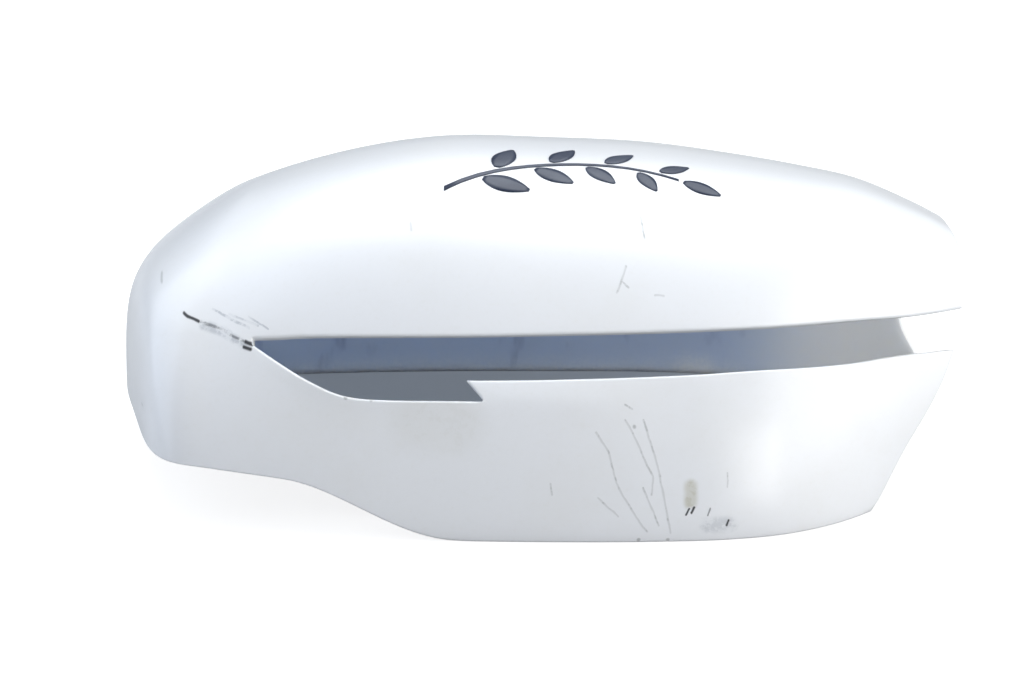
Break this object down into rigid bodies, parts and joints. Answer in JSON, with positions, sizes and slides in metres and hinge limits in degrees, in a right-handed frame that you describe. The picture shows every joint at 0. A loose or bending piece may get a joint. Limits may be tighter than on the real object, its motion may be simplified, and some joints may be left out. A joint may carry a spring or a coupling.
{
  "type": "wing mirror cover",
  "caption": "Hollow moulded cap for a vehicle's door mirror, with a long stepped lamp slot along one side, a raised rim over the mirror's arm and snap hooks inside.",
  "frame": {"origin": "middle of the cover's plan outline, in the plane of its rim", "axes": "+X from the inboard end to the open outboard tips, +Y from the slotted lower wall to the upper wall, +Z out of the rim towards the painted crown"},
  "size_m": [0.2434, 0.1492, 0.0908],
  "materials": {
    "white_paint": "white clear-coated paint on moulded plastic, bare grey plastic inside",
    "dark_vinyl": "dark slate cut vinyl film"
  },
  "bodies": {
    "root": {"mirror_cover": "white_paint", "vinyl_sprig": "dark_vinyl"}
  },
  "joints": []
}
